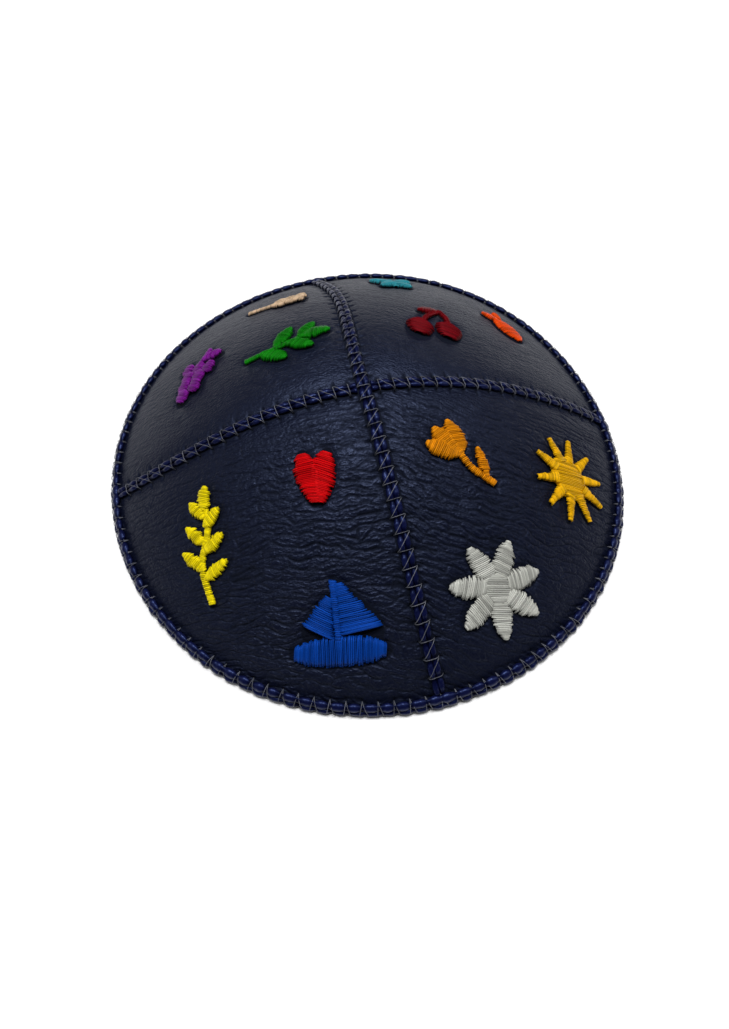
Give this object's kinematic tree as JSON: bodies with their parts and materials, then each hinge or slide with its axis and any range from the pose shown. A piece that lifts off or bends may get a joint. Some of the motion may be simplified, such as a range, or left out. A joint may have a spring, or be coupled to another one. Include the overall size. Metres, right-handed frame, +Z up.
{
  "type": "leather kippah skullcap",
  "caption": "Shallow round skullcap of sewn leather panels with couched satin cord over the seams and rim and satin-stitch motifs, worn on the crown of the head.",
  "frame": {"origin": "bottom centre of the cap, where the rim rests", "axes": "+Z up through the crown, -Y towards the front"},
  "size_m": [0.1627, 0.1661, 0.0386],
  "materials": {
    "leather": "fine pebble grain with wrinkles, soft sheen",
    "satin_cord": "satin, held by fine grey zigzag thread",
    "thread_yellow": "rayon satin stitch",
    "thread_red": "rayon satin stitch",
    "thread_blue": "rayon satin stitch",
    "thread_gold_orange": "rayon satin stitch",
    "thread_amber": "rayon satin stitch",
    "thread_silver": "rayon satin stitch",
    "thread_purple": "rayon satin stitch",
    "thread_green": "rayon satin stitch",
    "thread_beige": "rayon satin stitch",
    "thread_crimson": "rayon satin stitch",
    "thread_orange": "rayon satin stitch",
    "thread_cyan": "rayon satin stitch"
  },
  "bodies": {
    "root": {"panel_front_left": "leather", "panel_front_right": "leather", "panel_back_left": "leather", "panel_back_right": "leather", "seam_cord_long": "satin_cord", "seam_cord_left": "satin_cord", "seam_cord_right": "satin_cord", "rim_cord": "satin_cord", "motif_sprig_yellow": "thread_yellow", "motif_heart_red": "thread_red", "motif_boat_blue": "thread_blue", "motif_tulip_orange": "thread_gold_orange", "motif_sun_amber": "thread_amber", "motif_daisy_silver": "thread_silver", "motif_grapes_purple": "thread_purple", "motif_twig_green": "thread_green", "motif_wheat_beige": "thread_beige", "motif_cherries_crimson": "thread_crimson", "motif_fish_orange": "thread_orange", "motif_butterfly_cyan": "thread_cyan"}
  },
  "joints": []
}
